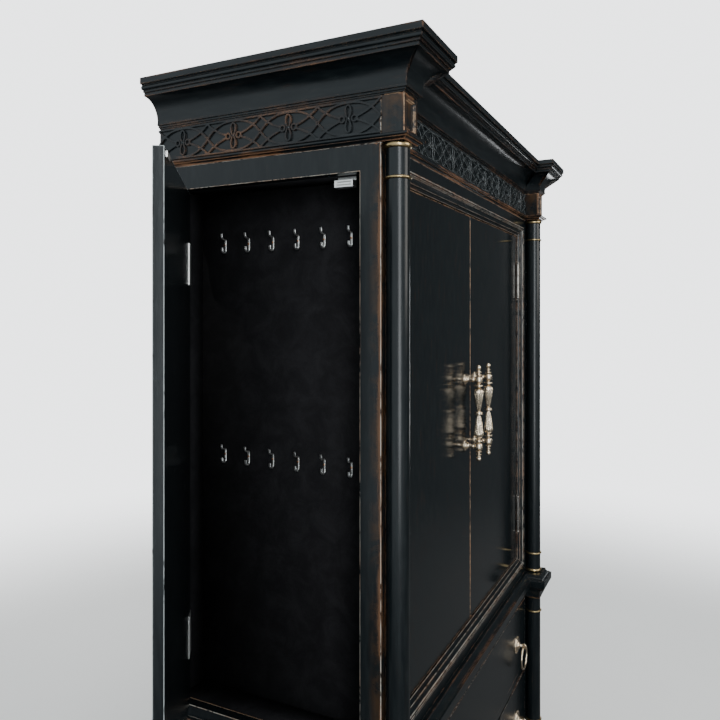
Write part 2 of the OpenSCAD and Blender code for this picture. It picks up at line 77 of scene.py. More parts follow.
studio = {
    "backdrop": (0.93, 0.95, 0.97),
    "backdropPower": 3.2,
    "dome": (0.86, 0.95, 1.0),
    "domePower": (0.08, 1.10),  # on the right and on the left of the case
    # name: place, target, width, height, watts, colour
    "lamps": {
        "window": ((0.9, -4.6, 3.0), (0.0, 0.0, 1.5), 2.8, 2.8, 95, (1.0, 0.96, 0.90)),
        "side": ((-4.0, -2.9, 3.7), (-0.6, -0.2, 1.9), 1.6, 1.6, 75, (0.93, 0.97, 1.0)),
        "wall": ((-4.5, -3.5, 1.5), (-0.7, -0.15, 1.5), 1.8, 3.0, 105, (0.95, 0.98, 1.0)),
        "edge": ((4.6, -0.40, 1.15), (0.0, -0.35, 1.15), 0.5, 1.7, 17, (0.95, 0.98, 1.0)),
        "top": ((0.2, -0.6, 4.8), (0.0, 0.0, 1.9), 2.6, 1.8, 60, (1.0, 0.98, 0.96)),
        "back": ((2.2, 4.2, 3.2), (0.0, 0.2, 1.2), 2.4, 2.4, 110, (1.0, 0.99, 0.97)),
    },
    "floorSize": 7.0,  # from its middle to each side
    "floorFade": (2.2, 4.8),  # the floor melts into the backdrop between these distances
    "floorColour": (0.90, 0.90, 0.89),
    "floorCast": (0.10, 0.10, 0.10),  # what the floor throws back onto the case
}


def addLamp(name, place, target, width, height, watts, colour):
    data = bpy.data.lights.new(name, "AREA")
    data.shape = "RECTANGLE"
    data.size = width
    data.size_y = height
    data.energy = watts
    data.color = colour
    lamp = bpy.data.objects.new(name, data)
    lamp.location = place
    aim = Vector(target) - Vector(place)
    lamp.rotation_euler = aim.to_track_quat("-Z", "Y").to_euler()
    scene.collection.objects.link(lamp)


for lampName, lampSpec in studio["lamps"].items():
    addLamp(lampName, *lampSpec)


def studioWorld():
    # The camera sees a plain pale backdrop; the light itself comes from a softer dome, brighter on the left
    world = bpy.data.worlds.new("studio")
    world.use_nodes = True
    tree = world.node_tree
    backdrop = tree.nodes["Background"]
    backdrop.inputs["Color"].default_value = (*studio["backdrop"], 1)
    backdrop.inputs["Strength"].default_value = studio["backdropPower"]
    dome = tree.nodes.new("ShaderNodeBackground")
    dome.inputs["Color"].default_value = (*studio["dome"], 1)
    direction = tree.nodes.new("ShaderNodeTexCoord")
    split = tree.nodes.new("ShaderNodeSeparateXYZ")
    ramp = tree.nodes.new("ShaderNodeMapRange")
    ramp.interpolation_type = "SMOOTHSTEP"
    dim, bright = studio["domePower"]
    for socket, value in (("From Min", 0.7), ("From Max", -0.9), ("To Min", dim), ("To Max", bright)):
        ramp.inputs[socket].default_value = value
    seen = tree.nodes.new("ShaderNodeLightPath")
    mix = tree.nodes.new("ShaderNodeMixShader")
    tree.links.new(direction.outputs["Generated"], split.inputs[0])
    tree.links.new(split.outputs["X"], ramp.inputs["Value"])
    tree.links.new(ramp.outputs[0], dome.inputs["Strength"])
    tree.links.new(seen.outputs["Is Camera Ray"], mix.inputs[0])
    tree.links.new(dome.outputs[0], mix.inputs[1])
    tree.links.new(backdrop.outputs[0], mix.inputs[2])
    tree.links.new(mix.outputs[0], tree.nodes["World Output"].inputs["Surface"])
    return world


scene.world = studioWorld()
print("camera and lights placed")

# Mesh helpers


def meshPiece(name, verts, faces, sharp=None):
    mesh = bpy.data.meshes.new(name)
    mesh.from_pydata([tuple(v) for v in verts], [], faces)
    mesh.update()
    work = bmesh.new()
    work.from_mesh(mesh)
    bmesh.ops.recalc_face_normals(work, faces=work.faces)
    work.to_mesh(mesh)
    work.free()
    if sharp is not None:
        mesh.shade_smooth()
        mesh.set_sharp_from_angle(angle=math.radians(sharp))
    piece = bpy.data.objects.new(name, mesh)
    scene.collection.objects.link(piece)
    return piece


def addTo(store, verts, faces):
    base = len(store[0])
    store[0].extend(verts)
    store[1].extend([tuple(base + i for i in face) for face in faces])


def gridFaces(rows, cols, closedCols=True, closedRows=False):
    faces = []
    for r in range(rows if closedRows else rows - 1):
        for c in range(cols if closedCols else cols - 1):
            r2, c2 = (r + 1) % rows, (c + 1) % cols
            faces.append((r * cols + c, r * cols + c2, r2 * cols + c2, r2 * cols + c))
    return faces


def lathe(profile, segments, place=Matrix.Identity(4)):
    verts, rings, faces = [], [], []
    for radius, height in profile:
        if radius < 1e-7:
            rings.append([len(verts)])
            verts.append(place @ Vector((0, 0, height)))
            continue
        rings.append(list(range(len(verts), len(verts) + segments)))
        for s in range(segments):
            a = turn * s / segments
            verts.append(place @ Vector((radius * math.cos(a), radius * math.sin(a), height)))
    for low, high in zip(rings, rings[1:]):
        for s in range(segments):
            t = (s + 1) % segments
            if len(low) == 1 and len(high) > 1:
                faces.append((low[0], high[t], high[s]))
            elif len(high) == 1 and len(low) > 1:
                faces.append((low[s], low[t], high[0]))
            elif len(low) > 1:
                faces.append((low[s], low[t], high[t], high[s]))
    if len(rings[0]) > 1:
        faces.append(tuple(reversed(rings[0])))
    if len(rings[-1]) > 1:
        faces.append(tuple(rings[-1]))
    return verts, faces


def sweepSection(path, section, side, closed=False):
    # A flat section carried along a path; side is the direction that stays across every section
    verts = []
    count = len(path)
    for i, point in enumerate(path):
        before = path[(i - 1) % count] if closed or i else path[i]
        after = path[(i + 1) % count] if closed or i < count - 1 else path[i]
        along = (after - before).normalized()
        out = along.cross(side).normalized()
        verts.extend(point + side * u + out * v for u, v in section)
    faces = gridFaces(count, len(section), True, closed)
    if not closed:
        faces.append(tuple(reversed(range(len(section)))))
        faces.append(tuple(range((count - 1) * len(section), count * len(section))))
    return verts, faces


def roundedBox(width, height, radius, steps=2):
    # Outline of a rounded rectangle about its middle, as a list of (u, v)
    points = []
    for cx, cy, start in ((1, 1, 0), (-1, 1, 1), (-1, -1, 2), (1, -1, 3)):
        for k in range(steps + 1):
            a = (start + k / steps) * math.pi / 2
            points.append((
                cx * (width / 2 - radius) + radius * math.cos(a),
                cy * (height / 2 - radius) + radius * math.sin(a),
            ))
    return points


# Materials


class Shader:
    # A short way to wire a node tree: each call makes a node and returns its first output
    def __init__(self, name):
        self.material = bpy.data.materials.new(name)
        self.material.use_nodes = True
        self.tree = self.material.node_tree
        self.tree.nodes.clear()
        self.surface = self.tree.nodes.new("ShaderNodeBsdfPrincipled")
        output = self.tree.nodes.new("ShaderNodeOutputMaterial")
        self.tree.links.new(self.surface.outputs["BSDF"], output.inputs["Surface"])

    def put(self, socket, value):
        if isinstance(value, bpy.types.NodeSocket):
            self.tree.links.new(value, socket)
        elif value is not None:
            socket.default_value = value

    def node(self, kind, sockets=None, output=0, **settings):
        made = self.tree.nodes.new(kind)
        for key, value in settings.items():
            setattr(made, key, value)
        for key, value in (sockets or {}).items():
            self.put(made.inputs[key], value)
        return made.outputs[output]

    def math(self, operation, a, b, clamp=False):
        made = self.tree.nodes.new("ShaderNodeMath")
        made.operation = operation
        made.use_clamp = clamp
        for socket, value in zip(made.inputs, (a, b)):
            self.put(socket, value)
        return made.outputs[0]

    def step(self, value, low, high):
        made = self.tree.nodes.new("ShaderNodeMapRange")
        made.interpolation_type = "SMOOTHSTEP"
        self.put(made.inputs["Value"], value)
        self.put(made.inputs["From Min"], low)
        self.put(made.inputs["From Max"], high)
        return made.outputs[0]

    def span(self, value, low, high):
        made = self.tree.nodes.new("ShaderNodeMapRange")
        self.put(made.inputs["Value"], value)
        self.put(made.inputs["To Min"], low)
        self.put(made.inputs["To Max"], high)
        return made.outputs[0]

    def mix(self, share, a, b):
        made = self.tree.nodes.new("ShaderNodeMix")
        made.data_type = "RGBA"
        self.put(made.inputs[0], share)
        self.put(made.inputs[6], (*a, 1) if isinstance(a, tuple) else a)
        self.put(made.inputs[7], (*b, 1) if isinstance(b, tuple) else b)
        return made.outputs[2]

    def place(self, stretch=(1, 1, 1)):
        coords = self.node("ShaderNodeTexCoord", output="Object")
        return self.node("ShaderNodeMapping", {"Vector": coords, "Scale": stretch})

    def noise(self, where, scale, detail=4.0, rough=0.55, twist=0.0):
        sockets = {"Vector": where, "Scale": scale, "Detail": detail, "Roughness": rough, "Distortion": twist}
        return self.node("ShaderNodeTexNoise", sockets)

    def edges(self, radius, samples=4):
        # 0 on flat and smoothly curved faces, 1 on a square arris, fading over the radius
        rounded = self.node("ShaderNodeBevel", {"Radius": radius}, samples=samples)
        true = self.node("ShaderNodeNewGeometry", output="Normal")
        pair = {0: rounded, 1: true}
        turned = self.node("ShaderNodeVectorMath", pair, output="Value", operation="DOT_PRODUCT")
        whole = 3.4  # brings a square arris up to 1
        return self.math("MULTIPLY", self.math("SUBTRACT", 1.0, turned), whole, clamp=True)

    def openness(self, distance, samples=4):
        # 1 on open faces, falling towards 0 in hollows
        settings = {"output": "AO", "samples": samples, "only_local": True}
        return self.node("ShaderNodeAmbientOcclusion", {"Distance": distance}, **settings)

    def bump(self, height, strength, distance):
        return self.node("ShaderNodeBump", {"Height": height, "Strength": strength, "Distance": distance})

    def finish(self, **sockets):
        for key, value in sockets.items():
            socket = self.surface.inputs[key.replace("_", " ")]
            self.put(socket, (*value, 1) if isinstance(value, tuple) and socket.type == "RGBA" else value)
        return self.material


paintLook = {
    "black": (0.0036, 0.0056, 0.0068),
    "haze": (0.0085, 0.0115, 0.0125),
    "brown": (0.040, 0.0175, 0.0095),
    "ochre": (0.090, 0.042, 0.014),
    # pale grey of the painted highlight line on carved arrises
    "highlightLine": (0.30, 0.32, 0.32),
    "bare": (0.38, 0.175, 0.078),
    "arris": (2.5 * mm, 9.0 * mm),  # how far the rubbing reaches in from an arris, at least and at most
    "gloss": (0.14, 0.32),
    "shine": 0.36,
}


def wornPaint(name, stretch, rub, spread=0.0, streaks=0.12, handled=None, stain=0.0, highlightLine=0.0,
              gloss=paintLook["gloss"]):
    # Black paint rubbed through at its edges. Stretch lengthens the marks along the grain, and rub is how much
    # shows. Spread lets it wander over whole faces, and streaks are the faint brown marks along the grain.
    # Handled is a stretch along Y, as (clean, worn), where hands have rubbed the paint harder, and stain is the
    # ochre cloud there. The fine pale line on the arrises of carved work is a painted highlight
    s = Shader(name)
    where = s.place(stretch)
    plain = s.place()
    patches = s.step(s.noise(where, 5.0, 4.0, 0.62, 0.4), 0.34, 0.68)
    ragged = s.noise(where, 60.0, 8.0, 0.72, 0.6)
    fine = s.noise(plain, 420.0, 5.0, 0.7)
    reach = s.span(patches, *paintLook["arris"])
    if handled:
        along = s.node("ShaderNodeSeparateXYZ", {0: plain}, output="Y")
        touched = s.step(along, *handled)
        reach = s.math("MULTIPLY", reach, s.span(touched, 1.0, 2.0))
    edge = s.edges(reach)
    edge = s.math("MULTIPLY", edge, s.step(s.openness(12 * mm), 0.52, 0.88))
    wear = s.math("MULTIPLY", edge, s.span(patches, 0.42 * rub, 1.25 * rub))
    if handled:
        wear = s.math("MULTIPLY", wear, s.span(touched, 0.7, 2.6))
    wear = s.math("ADD", wear, s.math("MULTIPLY", s.math("SUBTRACT", ragged, 0.5), 0.66))
    if spread:
        wear = s.math("ADD", wear, s.math("MULTIPLY", patches, spread))
    halo = s.step(wear, 0.14, 0.42)
    bare = s.step(s.math("ADD", wear, s.math("MULTIPLY", s.math("SUBTRACT", fine, 0.5), 0.25)), 0.34, 0.70)
    flecks = s.step(s.noise(plain, 95.0, 6.0, 0.78), 0.675, 0.71)
    cloud = s.noise(where, 16.0, 6.0, 0.62, 0.3)
    streak = s.step(s.noise(s.place([4 * v for v in stretch]), 3.2, 6.0, 0.7, 0.2), 0.54, 0.78)
    colour = s.mix(s.step(cloud, 0.38, 0.72), paintLook["black"], paintLook["haze"])
    colour = s.mix(s.math("MULTIPLY", streak, streaks), colour, paintLook["brown"])
    if stain:
        cloudy = s.step(s.noise(plain, 14.0, 7.0, 0.72, 0.5), 0.40, 0.66)
        stained = s.math("MULTIPLY", s.math("MULTIPLY", touched, cloudy), stain)
        colour = s.mix(stained, colour, paintLook["ochre"])
    colour = s.mix(s.math("MULTIPLY", halo, 0.85), colour, paintLook["brown"])
    colour = s.mix(s.math("MULTIPLY", flecks, 0.4), colour, paintLook["brown"])
    tint = s.mix(fine, paintLook["bare"], tuple(c * 0.4 for c in paintLook["bare"]))
    colour = s.mix(bare, colour, tint)
    # painted highlight: a fine pale line mixed in along the arrises
    if highlightLine:
        line = s.step(s.edges(1.3 * mm), 0.06, 0.34)
        colour = s.mix(s.math("MULTIPLY", line, highlightLine), colour, paintLook["highlightLine"])
    rough = s.span(s.noise(where, 30.0, 5.0, 0.6), *gloss)
    rough = s.math("ADD", rough, s.math("MULTIPLY", bare, 0.30), clamp=True)
    brush = s.noise(where, 150.0, 4.0, 0.6)
    height = s.math("SUBTRACT", s.math("MULTIPLY", brush, 0.35), s.math("MULTIPLY", bare, 0.5))
    height = s.math("SUBTRACT", height, s.math("MULTIPLY", flecks, 0.5))
    return s.finish(
        Base_Color=colour, Roughness=rough, Specular_IOR_Level=paintLook["shine"],
        Normal=s.bump(height, 0.4, 0.30 * mm),
    )


def arrisWearAndHighlight(name, stretch, light, share, tan):
    # The very edge of a painted board in broken pale lines: partly paint rubbed thin, partly a painted highlight
    # on the arris
    s = Shader(name)
    where = s.place(stretch)
    broken = s.noise(where, 26.0, 6.0, 0.7, 0.3)
    shown = s.step(broken, 0.62 - 0.3 * share, 0.74 - 0.3 * share)
    tanned = s.math("MULTIPLY", s.step(s.noise(where, 9.0, 3.0), 0.42, 0.62), tan)
    # the light colour stands partly for rubbed paint and partly for a painted highlight; tan mixes in bare wood
    tint = s.mix(tanned, light, paintLook["bare"])
    colour = s.mix(shown, paintLook["black"], tint)
    height = s.noise(where, 90.0, 4.0, 0.6)
    rough = s.span(shown, 0.22, 0.45)
    return s.finish(Base_Color=colour, Roughness=rough, Normal=s.bump(height, 0.3, 0.2 * mm))


def timber(name, light, dark, stretch=(1, 9, 9)):
    # Plain varnished board with fine grain along X unless stretch says otherwise
    s = Shader(name)
    where = s.place(stretch)
    rings = s.noise(where, 3.0, 3.0, 0.5, 1.8)
    grain = s.noise(where, 34.0, 8.0, 0.7, 0.5)
    pores = s.step(s.noise(where, 120.0, 3.0, 0.6), 0.60, 0.72)
    share = s.math("ADD", s.math("MULTIPLY", rings, 0.6), s.math("MULTIPLY", grain, 0.4))
    colour = s.mix(s.step(share, 0.36, 0.66), light, dark)
    colour = s.mix(s.math("MULTIPLY", pores, 0.45), colour, tuple(c * 0.4 for c in dark))
    edge = s.edges(1.5 * mm)
    colour = s.mix(s.math("MULTIPLY", edge, 0.3), colour, tuple(c * 0.55 for c in dark))
    rough = s.span(grain, 0.42, 0.62)
    height = s.math("SUBTRACT", s.math("MULTIPLY", grain, 0.4), pores)
    return s.finish(Base_Color=colour, Roughness=rough, Normal=s.bump(height, 0.4, 0.25 * mm))


def plated(name, bright, dull, rough=(0.16, 0.34), soil=0.75, depth=3 * mm):
    # Cast or plated metal, darker in its hollows and brighter on its rubbed edges
    s = Shader(name)
    plain = s.place()
    hollow = s.math("SUBTRACT", 1.0, s.step(s.openness(depth, 6), 0.30, 0.88))
    blotch = s.noise(plain, 70.0, 5.0, 0.6)
    fine = s.noise(plain, 900.0, 4.0, 0.6)
    grime = s.math("MULTIPLY", hollow, soil)
    tarnish = s.math("MULTIPLY", s.step(blotch, 0.45, 0.8), 0.35)
    share = s.math("ADD", grime, tarnish, clamp=True)
    colour = s.mix(share, bright, dull)
    surface = s.span(blotch, rough[0], rough[1])
    surface = s.math("ADD", surface, s.math("MULTIPLY", share, 0.18), clamp=True)
    height = s.math("ADD", s.math("MULTIPLY", blotch, 0.6), s.math("MULTIPLY", fine, 0.25))
    return s.finish(Base_Color=colour, Roughness=surface, Metallic=1.0, Normal=s.bump(height, 0.22, 0.2 * mm))


feltLook = {
    "pile": (0.0075, 0.0073, 0.0080),
    "thin": (0.0280, 0.0275, 0.0295),
    "round": 1.1 * mm,
    "strip": 2 * mm,  # thickness of the strips round the compartment
}


def feltCloth(name):
    # Short dark pile with faint cloudy patches
    s = Shader(name)
    plain = s.place()
    mottle = s.noise(plain, 19.0, 7.0, 0.70, 0.5)
    fibre = s.noise(plain, 620.0, 6.0, 0.75, 1.6)
    tuft = s.noise(plain, 170.0, 4.0, 0.6, 0.8)
    cloud = s.math("MULTIPLY", s.step(mottle, 0.35, 0.75), 0.35)
    share = s.math("ADD", cloud, s.math("MULTIPLY", s.step(fibre, 0.4, 0.75), 0.35))
    colour = s.mix(share, feltLook["pile"], feltLook["thin"])
    height = s.math("ADD", s.math("MULTIPLY", fibre, 0.6), s.math("MULTIPLY", tuft, 0.5))
    rough = s.span(mottle, 0.88, 1.0)
    return s.finish(
        Base_Color=colour, Roughness=rough, Specular_IOR_Level=0.05,
        Normal=s.bump(height, 0.7, 0.8 * mm),
    )


def floorCoat(name):
    # Pale to look at, but dark to the case's own reflections, and fading out with distance
    s = Shader(name)
    speck = s.noise(s.place(), 3.0, 5.0, 0.6)
    tint = studio["floorColour"]
    colour = s.mix(speck, tint, tuple(c * 0.97 for c in tint))
    seen = s.node("ShaderNodeLightPath", output="Is Camera Ray")
    colour = s.mix(seen, studio["floorCast"], colour)
    far = s.node("ShaderNodeVectorMath", {0: s.place()}, output="Value", operation="LENGTH")
    near = s.math("SUBTRACT", 1.0, s.step(far, *studio["floorFade"]))
    return s.finish(Base_Color=colour, Roughness=0.7, Specular_IOR_Level=0.2, Alpha=near)


upright, level = (9, 9, 1), (1.1, 1.1, 8)  # grain along Z, and grain along X and Y
sideFront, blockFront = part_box("left_side_frame")[0].y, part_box("corner_blocks")[0].y
# where hands have rubbed the front edges, as (clean, worn) along Y
stileFront = (sideFront + 30 * mm, sideFront + 6 * mm)
cornerFront = (blockFront + 70 * mm, blockFront + 10 * mm)
finishes = {
    "paintUpright": wornPaint("paintUpright", upright, 0.45, 0.05, 0.18),
    "paintStile": wornPaint("paintStile", upright, 0.50, 0.0, 0.15, stileFront, 0.35),
    "paintCorner": wornPaint("paintCorner", upright, 0.35, 0.0, 0.10, cornerFront, 0.55),
    "paintSideDoor": wornPaint("paintSideDoor", upright, 0.30, streaks=0.04),
    "paintDoor": wornPaint("paintDoor", (14, 14, 1), 0.75, 0.13, 0.85, gloss=(0.03, 0.13)),
    "paintLevel": wornPaint("paintLevel", level, 0.42, 0.08, 0.25),
    "paintRubbed": wornPaint("paintRubbed", level, 1.2, 0.35),
    "paintSideFret": wornPaint("paintSideFret", (1, 1, 1), 0.46, 0.05, highlightLine=0.10),
    "paintFrontFret": wornPaint("paintFrontFret", (1, 1, 1), 0.15, 0.0, highlightLine=0.9, gloss=(0.08, 0.20)),
    "arrisSilver": arrisWearAndHighlight("arrisSilver", (4, 4, 1), (0.34, 0.37, 0.37), 0.9, 0.0),
    "arrisPale": arrisWearAndHighlight("arrisPale", (4, 4, 1), (0.40, 0.37, 0.32), 0.75, 0.45),
    "arrisFaint": arrisWearAndHighlight("arrisFaint", (3, 3, 3), (0.30, 0.28, 0.25), 0.50, 0.5),
    "arrisTan": arrisWearAndHighlight("arrisTan", (3, 3, 3), (0.42, 0.28, 0.17), 0.65, 0.8),
    "caseTimber": timber("caseTimber", (0.30, 0.19, 0.105), (0.17, 0.092, 0.045)),
    "drawerTimber": timber("drawerTimber", (0.52, 0.38, 0.235), (0.36, 0.235, 0.13)),
    "backTimber": timber("backTimber", (0.26, 0.165, 0.095), (0.14, 0.08, 0.042), (9, 9, 1)),
    "brass": plated("brass", (0.44, 0.33, 0.17), (0.06, 0.035, 0.015), (0.20, 0.36), 1.0),
    "nickel": plated("nickel", (0.96, 0.95, 0.92), (0.42, 0.40, 0.37), (0.28, 0.42), 0.30),
    "darkNickel": plated("darkNickel", (0.30, 0.28, 0.26), (0.05, 0.045, 0.04), (0.14, 0.26), 0.8),
    "copper": plated("copper", (0.80, 0.46, 0.29), (0.16, 0.08, 0.05), (0.25, 0.4)),
    "pewter": plated("pewter", (0.80, 0.66, 0.49), (0.022, 0.014, 0.008), (0.16, 0.30), 1.6, 2.4 * mm),
    "felt": feltCloth("felt"),
}
print("finishes mixed:", len(finishes))

floorEdge = studio["floorSize"]
floorCorners = [(x * floorEdge, y * floorEdge, 0) for x, y in ((-1, -1), (1, -1), (1, 1), (-1, 1))]
floorMesh = meshPiece("floor", floorCorners, [(0, 1, 2, 3)])
floorMesh.data.materials.append(floorCoat("floorCoat"))

# CAD parts that keep their shape: a finish for each and softened arrises

slotFinish = {
    "worn_ebony_paint": "paintLevel",
    "case_wood": "caseTimber",
    "charcoal_felt": "felt",
    "aged_brass": "brass",
    "nickel": "nickel",
    "copper_screw": "copper",
    "antique_pewter": "pewter",
}
nodeFinish = {
    "left_side_frame": "paintStile",
    "right_side_frame": "paintUpright",
    "lower_side_frames": "paintUpright",
    "side_panels": "paintUpright",
    "side_door": "paintSideDoor",
    "left_door": "paintDoor",
    "right_door": "paintDoor",
    "door_face_frame": "paintUpright",
    "upper_columns": "paintUpright",
    "lower_columns": "paintUpright",
    "corner_blocks": "paintCorner",
    "compartment_box": "paintUpright",
    "frieze_bead": "paintRubbed",
    "upper_drawer_box": "drawerTimber",
    "lower_drawer_box": "drawerTimber",
    "upper_back": "backTimber",
    "lower_back": "backTimber",
    "hinge_pins": "darkNickel",
    "door_jamb_hinge_leaves": "darkNickel",
    "left_door_hinge_leaves": "darkNickel",
    "right_door_hinge_leaves": "darkNickel",
}
arrisWidth = {"paint": 1.2 * mm, "Timber": 0.8 * mm, "metal": 0.4 * mm}
# finishes for the bevel faces: pale lines of rubbed paint and painted highlight
arrisFinish = {
    "side_door": "arrisSilver",
    "left_side_frame": "arrisPale",
    "corner_blocks": "arrisTan",
    "left_door": "arrisTan",
    "right_door": "arrisTan",
    "cornice": "arrisTan",
    "frieze_bead": "arrisTan",
    "waist_moulding": "arrisTan",
    "door_frame_moulding": "arrisPale",
    "door_face_frame": "arrisPale",
}
for nodeName, cad in nodes.items():
    finish = nodeFinish.get(nodeName, slotFinish[slotOf[nodeName]])
    cad.data.materials.clear()
    cad.data.materials.append(finishes[finish])
    width = next((w for key, w in arrisWidth.items() if key in finish), arrisWidth["metal"])
    weld = cad.modifiers.new("weld", "WELD")
    weld.merge_threshold = 0.02 * mm
    soften = cad.modifiers.new("soften", "BEVEL")
    soften.width = width
    soften.segments = 2
    soften.limit_method = "ANGLE"
    soften.angle_limit = math.radians(40)
    if width == arrisWidth["paint"]:
        cad.data.materials.append(finishes[arrisFinish.get(nodeName, "arrisFaint")])
        soften.material = 1
    even = cad.modifiers.new("even", "WEIGHTED_NORMAL")
    even.keep_sharp = False
print("CAD parts finished")

# Fretwork on the frieze: flowers in pointed arches, with interlaced bars between them

fretLook = {
    "sideFlowers": 4,
    "frontFlowers": 8,
    "frontWeight": 1.35,  # the front's bars are bolder
    "bar": 4.0 * mm,
    "thick": 4.4 * mm,
    "arris": 0.9 * mm,
    "archGap": 2 * mm,  # from the top of an arch to the middle of the rail
    "crossEnd": (6 * mm, 3.4 * mm),  # where a crossing bar stops, outside a loop's middle
    "loopCentre": 13.0 * mm,
    "loopRadius": 5.6 * mm,
    "petalLong": 12.4 * mm,
    "petalWide": 5.6 * mm,
    "slim": 0.86,  # loops and petals against the other bars
    "rail": 3.4 * mm,
    # how far each kind of bar stands above the arches, so that one passes over the other
    "lift": {"cross": -0.35 * mm, "loop": 0.2 * mm, "petal": 0.45 * mm, "rail": 0.15 * mm},
    "boss": ((3.4 * mm, 0.4 * mm), (2.2 * mm, 1.5 * mm), (0, 1.8 * mm)),  # radius, and height above the arches
}


def bezier(points, count):
    a, b, c = (Vector(p) for p in points)
    steps = (i / (count - 1) for i in range(count))
    return [a * (1 - t) ** 2 + b * 2 * t * (1 - t) + c * t * t for t in steps]


def circle(count):
    return [turn * k / count for k in range(count)]


def fretRun(store, start, across, out, length, height, flowers, weight=1.0):
    # One run of flowers from start along across, standing off the frieze towards out
    look, lift = fretLook, fretLook["lift"]
    up = Vector((0, 0, 1))
    cell = length / flowers
    half, tall = cell / 2, height / 2 - look["rail"] / 2
    crossOut, crossUp = look["crossEnd"]

    def lay(points, raised=0.0, width=1.0, closed=False):
        path = [start + across * p[0] + up * p[1] for p in points]
        w, top, e = look["bar"] * weight * width / 2, look["thick"] + raised, look["arris"]
        section = [(0, -w), (top - e, -w), (top - 0.3 * e, -w + 0.3 * e), (top, -w + e)]
        section += [(u, -v) for u, v in reversed(section)]
        addTo(store, *sweepSection(path, section, out, closed))

    for n in range(flowers):
        middle = cell * (n + 0.5)
        for flip in (-1, 1):
            arch = [half * (2 * i / 32 - 1) for i in range(33)]
            rise = tall - look["archGap"]
            lay([(middle + u, flip * rise * (1 - abs(u / half) ** 2.7)) for u in arch])
            for side in (-1, 1):
                bend = ((half, tall), (half * 0.78, tall * 0.46), (look["loopCentre"] + crossOut, crossUp))
                lay([(middle + side * p[0], flip * p[1]) for p in bezier(bend, 12)], lift["cross"])
        for side in (-1, 1):
            loopMiddle, radius = middle + side * look["loopCentre"], look["loopRadius"]
            loop = [(loopMiddle + radius * math.cos(a), radius * math.sin(a)) for a in circle(22)]
            lay(loop, lift["loop"], look["slim"], True)
            petal = []
            for a in circle(26):
                swell = look["petalWide"] * (1 + 0.22 * math.cos(a))
                petal.append((middle + swell * math.sin(a), side * (look["petalLong"] * (1.06 + math.cos(a)))))
            lay(petal, lift["petal"], look["slim"], True)
        boss = [(look["boss"][0][0], 0)] + [(radius, look["thick"] + over) for radius, over in look["boss"]]
        outward = out.to_track_quat("Z", "Y").to_matrix().to_4x4()
        addTo(store, *lathe(boss, 16, Matrix.Translation(start + across * middle) @ outward))
    for flip in (-1, 1):
        lay([(length * k / 40, flip * tall) for k in range(41)], lift["rail"], look["rail"] / look["bar"])


def settle(piece, body, finish, slot, *stoodFor):
    # Gives a piece its finish, hangs it on its body and hides the CAD parts it stands for
    piece.data.materials.append(finishes[finish])
    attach(piece, body)
    if stoodFor:
        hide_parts(*stoodFor)
    return piece


friezeLow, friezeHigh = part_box("frieze_boards")
fretLow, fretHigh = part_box("side_fretwork")
middleZ, fretTall = (fretLow.z + fretHigh.z) / 2, fretHigh.z - fretLow.z
sideStore, frontStore = ([], []), ([], [])
for side in (-1, 1):
    start = Vector((side * friezeHigh.x, friezeLow.y, middleZ))
    fretRun(sideStore, start, Vector((0, 1, 0)), Vector((side, 0, 0)), friezeHigh.y - friezeLow.y, fretTall,
            fretLook["sideFlowers"])
frontLow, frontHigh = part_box("front_fretwork")
start = Vector((frontLow.x, frontHigh.y, middleZ))
fretRun(frontStore, start, Vector((1, 0, 0)), Vector((0, -1, 0)), frontHigh.x - frontLow.x, fretTall,
        fretLook["frontFlowers"], fretLook["frontWeight"])
sideFret = meshPiece("sideFret", *sideStore, sharp=38)
settle(sideFret, "case", "paintSideFret", "worn_ebony_paint", "side_fretwork")
frontFret = meshPiece("frontFret", *frontStore, sharp=38)
settle(frontFret, "case", "paintFrontFret", "worn_ebony_paint", "front_fretwork")
print("fretwork carved")

# Door pulls: a turned bar with carved leaves on both swellings, on two posts with round plates

pullLook = {
    "segments": 112,
    "leaves": 8,
    "leafDepth": 1.9 * mm,
    "carved": (6 * mm, 61 * mm),  # the stretch of each half of the bar that has leaves
    "barOut": 11.5 * mm,  # from the front of the pull to the middle of its bar
    "postGap": 170 * mm,
    # outline from the middle ring to the tip, as (radius, height) in millimetres
    "outline": (
        (10.6, 0.0), (10.8, 1.4), (10.0, 3.0), (7.0, 3.8), (5.4, 4.6), (5.4, 6.0), (6.0, 10), (7.0, 16),
        (8.3, 24), (9.8, 34), (11.2, 43), (12.2, 50), (12.4, 54.5), (11.2, 59), (8.6, 62), (6.0, 63.8),
        (4.8, 65.2), (5.0, 66.6), (9.4, 67.6), (11.2, 69.0), (11.4, 70.4), (10.2, 72.0), (6.2, 73.0),
        (4.6, 74.4), (5.0, 75.8), (8.2, 77.2), (9.8, 80), (10.4, 84), (10.4, 87.6), (9.8, 91),
        (7.4, 93.6), (5.2, 94.6), (5.6, 95.6), (8.2, 96.6), (8.4, 98.2), (6.6, 99.4), (4.0, 100.4),
        (3.4, 102), (4.0, 103.6), (6.8, 104.4), (7.2, 105.6), (6.2, 106.8), (3.8, 107.6), (3.4, 109),
        (3.8, 110.4),
    ),
    "ball": 6.6 * mm,
    # a post from its plate on the door towards the bar, which it enters by postEnd
    "post": (
        (14.2, 0), (14.2, 1.4), (13.4, 2.4), (11.8, 3.0), (10.8, 4.2), (9.6, 6.0), (7.6, 7.6),
        (6.0, 9.2), (5.2, 11.2), (4.9, 14), (4.7, 18), (5.0, 20.4), (6.8, 21.6), (7.2, 22.8), (6.6, 24),
        (5.2, 25),
    ),
    "postEnd": (5.0, 3),
}


